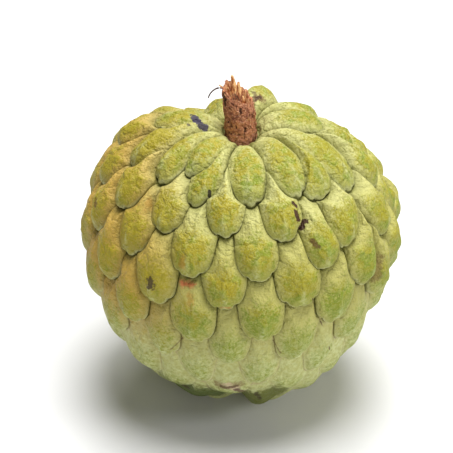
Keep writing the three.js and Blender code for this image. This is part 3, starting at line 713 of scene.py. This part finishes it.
# Heights of the stem are over the floor of the hollow.
stem = {
    "length": 16.8,  # at -X
    "slant": 4.2,  # how much lower the torn end is at +X
    "backRise": 1.2,
    "footRadius": 4.7,
    "headRadius": 3.85,
    "lean": -1.05,
    "fitGap": 0.35,
    "teeth": 1.5,
    "ragged": [(0.4, 1.5, 3), (0.3, 0.6, 4)],  # height as a share of the teeth, size and draw of the torn edge
    "around": 150,
    "levels": 90,
    "lumps": [(1.8, 0.12), (0.8, 0.2), (0.42, 0.2)],  # size and height of the lumps of the bark
    "pits": (0.75, 0.22),  # size and depth
    "bowl": [(0.86, 0.5), (0.66, 1.5), (0.44, 1.9), (0.2, 1.4)],  # rings in the broken end: share of radius, drop
    "splinters": [  # points, then radius and its share at the tip
        ([(-1.7, 0.8, 11.1), (-1.9, 0.6, 16.6), (-2.4, 0.4, 19.9)], 1.6, 0.34),
        ([(-0.5, 1.4, 11.1), (-0.6, 1.3, 14.6), (-0.7, 1.2, 17.6)], 1.3, 0.3),
        ([(-3, -0.8, 11.1), (-3.3, -0.9, 15.4), (-3.5, -1, 17.2)], 0.85, 0.3),
        ([(-3.8, 0.6, 12.1), (-4.6, 0.6, 16), (-5.8, 0.5, 17.2)], 0.65, 0.35),
        ([(-4, -1.4, 12.1), (-4.5, -1.6, 15.2), (-4.8, -1.8, 16.6)], 0.65, 0.35),
        ([(0.6, -1.2, 10.6), (0.7, -1.6, 13.4), (0.5, -1.8, 15)], 0.75, 0.3),
        ([(-4, -0.6, 15.6), (-6, -0.8, 17), (-7.6, -1, 16.2), (-8.7, -1.2, 14.3)], 0.32, 0.7),
    ],
    "slivers": 44,  # short torn fibres standing in the broken end
    "sliverLength": (0.3, 1.8),
    "sliverRadius": (0.12, 0.34),
    "strips": 90,  # fibres that lie along the bark below the end
    "stripLength": (1.0, 3.0),
    "stripRadius": (0.1, 0.28),
    "stripReach": 6.5,  # how far below the end they may start

    "dark": (0.3, 0.11, 0.065),
    "brown": (0.6, 0.25, 0.13),
    # Tan is a painted highlight: light flecks on the lumps of the bark.
    "tan": (0.92, 0.55, 0.34),  # on the lumps
    # Pit is the dark of painted shade in the pits, the broken end, the feet of the rods and the gaps; the long fibre
    # wears it as its own dark.
    "pit": (0.035, 0.014, 0.008),
    "foot": (0.52, 0.27, 0.2),
    "footHeight": 5.0,
    "wood": (0.98, 0.62, 0.27),
    "woodShade": (0.4, 0.12, 0.035),
    "coarse": (1.1, 3, 0.6),  # size, detail and roughness of the patches, flecks and drawn streaks
    "fine": (0.45, 3, 0.6),
    "streak": (0.5, 3),
    "grain": {"Grain Size": 0.3, "Wrinkle Size": 0.8},
    "grainHeight": 0.6,
    "roughness": 0.88,
    "specular": 0.2,
    # Painted shade: dark gaps in the torn bark, laid as marks. Turn in degrees, height at both ends, radius.
    "gapShade": [(-62, 15.4, 13.2, 0.9), (8, 12.2, 10.8, 0.5), (-20, 13.8, 13.0, 0.35), (22, 6.4, 5.6, 0.4)],
}


def rimAt(turn):  # the height of the broken end: a slant across X with a rise at the back
    raised = stem["backRise"] * smooth(-np.cos(turn), 0, 1)
    return stem["length"] + raised - stem["slant"] * (0.5 + 0.5 * np.sin(turn))


def stemAxis(height):  # how far the stem leans along X, a power of the height
    return stem["lean"] * np.maximum(0, height / stem["length"]) ** 1.3


def barkRadius(share):  # from foot to head, narrowing fastest at the foot
    return mix(stem["footRadius"], stem["headRadius"], share ** 0.6)


def onStem(turn, height, radius):  # a point round the leaning axis
    parts = stemAxis(height) + radius * np.sin(turn), -radius * np.cos(turn), height
    return np.stack(np.broadcast_arrays(*parts), axis=-1)


def trunkGrid():
    # Rings of points up the bark and then in over the broken end. The bark is a tapered tube with lumps of
    # three sizes and pits; the end is a ragged bowl.
    turn = 2 * np.pi * np.arange(stem["around"]) / stem["around"]
    circle = np.stack([np.sin(turn), np.cos(turn), 0 * turn], axis=-1)
    ragged = sum(amount * noiseAt(circle * 3.8, size, seed) for amount, size, seed in stem["ragged"])
    rim = rimAt(turn) + stem["teeth"] * ragged
    share = np.linspace(0, 1, stem["levels"])[:, None]
    height = mix(stem["fitGap"] - skin["socketDepth"], rim, share)
    plain = onStem(turn, height, barkRadius(share))
    lumps = sum(amount * noiseAt(plain, size, size) for size, amount in stem["lumps"])
    size, depth = stem["pits"]
    pit = smooth(noiseAt(plain * [1, 1, 0.7], size, 9), 0.35, 0.85) * smooth(share, 0.05, 0.2)
    radius = barkRadius(share) + (lumps - depth * pit) * smooth(share, 0, 0.08)
    wall = onStem(turn, height, radius)
    inward, drop = np.array(stem["bowl"]).T[:, :, None]
    drop = drop * (1 + 0.6 * noiseAt(circle * 3, 1.4, 6))
    bowl = onStem(turn, rim - drop, radius[-1] * inward)
    torn = np.concatenate([0 * height + 0.35 * smooth(share, 0.93, 1), 0.45 + 0 * drop])
    # dark is painted shade: in the pits of the bark, and deeper towards the middle of the broken end's bowl.
    dark = np.concatenate([pit, 0.25 + 0.6 * (1 - inward) + 0 * drop])
    return np.concatenate([wall, bowl]), torn, dark


def rodSet(paths, widths, sides, flatness):
    # Many rods at once. paths is rods by steps by 3; the ring round each step is an ellipse, thinner by
    # flatness in the direction away from the stem's middle, and the ends are closed.
    tangent = unitOf(np.gradient(paths, axis=1))
    away = paths.mean(axis=1) * [1, 1, 0] + [0.01, -0.02, 0]
    across = unitOf(np.cross(tangent, away[:, None]))
    out = np.cross(across, tangent)
    angle = 2 * np.pi * np.arange(sides) / sides
    ring = across[:, :, None] * np.cos(angle)[:, None] + flatness * out[:, :, None] * np.sin(angle)[:, None]
    points = paths[:, :, None] + ring * widths[:, :, None, None]
    index = np.arange(widths.size * sides).reshape(*widths.shape, sides)
    feet = index.size + np.arange(len(paths))[:, None]
    caps = [fan(feet, index[:, 0]), fan(feet + len(paths), index[:, -1])[:, ::-1]]
    tips = paths[:, -1] + tangent[:, -1] * widths[:, -1:]
    points = np.concatenate([points.reshape(-1, 3), paths[:, 0], tips])
    return points, band(index[:, :-1], index[:, 1:]), np.concatenate(caps)


def bentLine(path, steps):  # a smooth line through all of its points, by a polynomial in their spacing
    path = np.array(path, float)
    t = np.concatenate([[0], np.cumsum(np.linalg.norm(np.diff(path, axis=0), axis=1))])
    t /= t[-1]
    fit = np.polyfit(t, path, len(path) - 1)
    return sum(part * (np.linspace(0, 1, steps)[:, None] ** (len(path) - 1 - k)) for k, part in enumerate(fit))


def splinterRods():
    # The large splinters: rough rods along bent lines that narrow evenly to the tip. All three kinds of rods
    # come as their paths, widths, sides and flatness, then how woody they are and how dark: painted shade at
    # the feet of splinters and slivers, and the long fibre's own dark colour.
    steps = 14
    paths = np.array([bentLine(path, steps) for path, _, _ in stem["splinters"]])
    share = np.linspace(0, 1, steps)
    widths = np.array([radius * mix(1, tip, share) for _, radius, tip in stem["splinters"]])
    rough = 1 + 0.28 * noiseAt(paths * [2, 2, 1], 1.1, 5) * smooth(widths, 0.3, 0.6)
    wood = 0.35 + 0.65 * smooth(share, 0.35, 0.7) * np.ones((len(paths), 1))
    # Painted shade at the foot of each splinter, where it stands in the broken end.
    shade = 0.45 * (1 - smooth(share, 0.2, 0.5)) * np.ones((len(paths), 1))
    wood[-1], shade[-1] = 0.12, smooth(share, 0.1, 0.4)  # the long fibre is dark
    return paths, widths * rough, 10, 0.7, wood, shade


def sliverRods():
    # Torn fibres: tapered rods that stand in the broken end, most of them near its edge, bent outwards by
    # the square of the share of their height.
    k = np.arange(stem["slivers"])
    steps = 7
    turn = 2 * np.pi * drawAt(k + 200)
    reach = stem["headRadius"] * np.sqrt(mix(0.12, 1.0, drawAt(k + 300)))
    length = mix(*stem["sliverLength"], drawAt(k + 400) ** 1.6) * mix(0.35, 1, 0.5 - 0.5 * np.sin(turn))
    radius = mix(*stem["sliverRadius"], drawAt(k + 500))
    share = np.linspace(0, 1, steps)[:, None]
    height = rimAt(turn) - 2.2 + (length + 1.5) * share
    bend = reach + (0.1 + 0.9 * drawAt(k + 700)) * share ** 2 * length * 0.3
    paths = onStem(turn + 0.5 * (drawAt(k + 800) - 0.5) * share, height, bend).transpose(1, 0, 2)
    widths = (radius * mix(1, 0.25, share)).T
    wood = (0.25 + 0.75 * drawAt(k + 850)[:, None]) * np.ones((1, steps))
    # Painted shade at the foot of each sliver, down in the broken end.
    shade = 0.5 * (1 - smooth(share.T, 0.1, 0.6)) * np.ones((len(k), 1))
    return paths, widths, 6, 0.55, wood, shade


def stripRods():
    # Loosened fibres of bark: thin rods, thickest in their middle, that run down the bark at a slant on a
    # slight wave and stand off it as half a sine.
    k = np.arange(stem["strips"])
    steps = 8
    turn = 2 * np.pi * drawAt(k + 1200)
    length = mix(*stem["stripLength"], drawAt(k + 1300))
    share = np.linspace(0, 1, steps)[:, None]
    lean = 0.15 + 0.75 * drawAt(k + 1400)
    start = rimAt(turn) + 0.1 - stem["stripReach"] * drawAt(k + 1500) ** 1.3
    height = start - length * share
    radius = barkRadius(height / stem["length"]) + 0.02 + 0.3 * np.sin(np.pi * share) * drawAt(k + 1600)
    wave = 0.09 * np.sin(7 * share + 6 * drawAt(k + 1900))
    paths = onStem(turn + lean * share + wave, height, radius).transpose(1, 0, 2)
    widths = (mix(*stem["stripRadius"], drawAt(k + 1700)) * np.sin(np.pi * mix(0.12, 0.93, share)) ** 0.6).T
    wood = (0.05 + 0.45 * drawAt(k + 1800)[:, None] ** 2) * np.ones((1, steps))
    return paths, widths, 6, 0.6, wood, 0 * wood


def makeStem(floor):
    # The trunk, closed by a fan at each end, and all the rods that stand in and on it.
    grid, torn, dark = trunkGrid()
    index = np.arange(torn.size).reshape(torn.shape)
    blocks = [grid.reshape(-1, 3), grid[[0, -1]].mean(axis=1)]
    quads = [band(index[:-1], index[1:])[:, [0, 3, 2, 1]]]  # turned round to face outwards
    triangles = [fan(torn.size, index[0])[:, ::-1], fan(torn.size + 1, index[-1])]
    # The shade values are painted shade; the middle of the broken end is the darkest.
    wood, shade = [torn.ravel(), [0, 0.45]], [dark.ravel(), [0, 0.9]]
    count = torn.size + 2
    for paths, widths, sides, flatness, rodWood, rodShade in (splinterRods(), sliverRods(), stripRods()):
        points, rodQuads, rodTriangles = rodSet(paths, widths, sides, flatness)
        blocks.append(points)
        quads.append(rodQuads + count)
        triangles.append(rodTriangles + count)
        for whole, part in ((wood, rodWood), (shade, rodShade)):
            whole.extend([np.repeat(part.ravel(), sides), part[:, 0], part[:, -1]])
        count += len(points)
    values = {"torn": np.concatenate(wood), "shade": np.concatenate(shade)}
    points = np.concatenate(blocks) + [0, 0, floor]
    piece = meshPiece("broken_stem", points, np.concatenate(quads), np.concatenate(triangles), values)
    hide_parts("stem")
    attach(piece, "root")
    return piece


def makeBarkMaterial(floor):
    material, tree, shader = newMaterial("bark and torn wood", stem["roughness"], stem["specular"])
    place = placeInMm(tree)
    torn, shade = attribute(tree, "torn"), attribute(tree, "shade")
    drawn = vector(tree, "MULTIPLY", {0: place, 1: (1.0, 1.0, 0.25)})[0]
    coarse, fine = noise(tree, place, *stem["coarse"]), noise(tree, place, *stem["fine"])
    streak = noise(tree, drawn, *stem["streak"])
    height = put(tree, "ShaderNodeSeparateXYZ", {0: place}).outputs["Z"]
    bark = blend(tree, ramp(tree, coarse, 0.36, 0.62), stem["dark"], stem["brown"])
    # Painted highlights: tan flecks over the bark.
    bark = blend(tree, ramp(tree, fine, 0.52, 0.72, 0.0, 0.75), bark, stem["tan"])
    low = ramp(tree, height, floor + stem["footHeight"], floor, 0.0, 0.55)
    bark = blend(tree, low, bark, stem["foot"])
    wood = blend(tree, ramp(tree, streak, 0.43, 0.58), stem["woodShade"], stem["wood"])
    colour = blend(tree, ramp(tree, torn, 0.2, 0.75), bark, wood)
    # Painted shade from the shade attribute in the pits, the bowl and at the feet of the rods; the long fibre takes
    # its own dark colour from it.
    colour = blend(tree, ramp(tree, shade, 0.1, 1.0, 0.0, 0.92), colour, stem["pit"])
    # Painted shade in the gaps of the torn bark.
    for turn, top, bottom, radius in stem["gapShade"]:
        ends = onStem(np.radians(turn), np.array([top, bottom], float), stem["headRadius"] + 0.2) + [0, 0, floor]
        colour = addMark(tree, colour, "gap", stem["pit"], 0.85, Place=place, Noise=coarse, Start=tuple(ends[0]),
                         End=tuple(ends[1]), Radius=radius, Ragged=2.0, Soft=0.6)
    tree.links.new(colour, shader.inputs["Base Color"])
    grain = put(tree, "ShaderNodeGroup", {"Place": place, **stem["grain"]}, node_tree=grainGroup).outputs["Height"]
    bump = put(tree, "ShaderNodeBump", {"Height": grain, "Strength": 0.8, "Distance": stem["grainHeight"] * mm})
    tree.links.new(bump.outputs["Normal"], shader.inputs["Normal"])
    return material


stemPiece = makeStem(hollowFloor)
stemPiece.data.materials.append(makeBarkMaterial(hollowFloor))
print("stem:", len(stemPiece.data.polygons), "faces")

# Lengths of the stage are metres.
stage = {
    "lookAt": (0.0, 0.0, 0.042),
    "distance": 0.55,
    "elevation": 30.0,
    "lens": 156.1,
    "shift": (-0.032, 0.0422),  # the fruit stands right of the middle and low in the frame
    "floorReach": 3.0,
    "floorShade": 0.72,
    "backdrop": (0.1, 0.95),  # strength as light, and as the camera sees it
    # Soft lights aimed at the fruit: name, kind, place, size, energy. The sun lights the whole floor evenly.
    "lights": [
        ("top", "SUN", (0.1, 0.05, 1.1), 0.6, 3.42),
        ("back", "AREA", (0.0, 0.6, 0.9), 0.6, 5.3),
        ("front", "AREA", (0.3, -1.0, 0.45), 0.5, 1.8),
        ("low", "AREA", (0.0, -1.0, 0.12), 0.6, 0.6),
        ("right", "AREA", (0.95, -0.35, 0.55), 0.4, 4.0),
    ],
}


def makeFloor():  # one wide square just under the fruit
    mesh = bpy.data.meshes.new("floor")
    wide = stage["floorReach"]
    mesh.from_pydata([(-wide, -wide, 0), (wide, -wide, 0), (wide, wide, 0), (-wide, wide, 0)], [], [(0, 1, 2, 3)])
    floor = addObject("floor", mesh)
    floor.location.z = -0.2 * mm
    material, _, shader = newMaterial("floor", 0.9, 0.1)
    shader.inputs["Base Color"].default_value = (*[stage["floorShade"]] * 3, 1)
    mesh.materials.append(material)


def aimed(name, data, place):  # adds a lamp or a camera that looks at the fruit
    holder = addObject(name, data)
    holder.location = place
    holder.rotation_euler = (Vector(stage["lookAt"]) - Vector(place)).to_track_quat("-Z", "Y").to_euler()
    return holder


def makeLight(name, kind, place, size, energy):  # a round lamp, or a sun that looks as wide from the fruit
    lamp = bpy.data.lights.new(name, kind)
    if kind == "SUN":
        lamp.angle = 2 * math.atan(size / 2 / math.dist(place, stage["lookAt"]))
    else:
        lamp.shape = "DISK"
        lamp.size = size
    lamp.energy = energy
    aimed(name, lamp, place)


def makeCamera():
    tilt = math.radians(stage["elevation"])
    toCamera = Vector((0, -math.cos(tilt), math.sin(tilt)))
    camera = bpy.data.cameras.new("camera")
    camera.sensor_width = 36
    camera.lens = stage["lens"]
    camera.shift_x, camera.shift_y = stage["shift"]
    bpy.context.scene.camera = aimed("camera", camera, Vector(stage["lookAt"]) + toCamera * stage["distance"])


def makeWorld():  # a faint even light; seen itself, it is a pale backdrop
    world = bpy.data.worlds.new("studio")
    world.use_nodes = True
    tree = world.node_tree
    backdrop = tree.nodes["Background"]
    backdrop.inputs["Color"].default_value = (1, 1, 1, 1)
    faint, bright = stage["backdrop"]
    seen = put(tree, "ShaderNodeLightPath", {}).outputs["Is Camera Ray"]
    tree.links.new(scaleAdd(tree, seen, bright - faint, faint), backdrop.inputs["Strength"])
    bpy.context.scene.world = world


makeFloor()
makeWorld()
for light in stage["lights"]:
    makeLight(*light)
makeCamera()
bpy.context.scene.view_settings.view_transform = "Standard"
print("floor, lights and camera done")
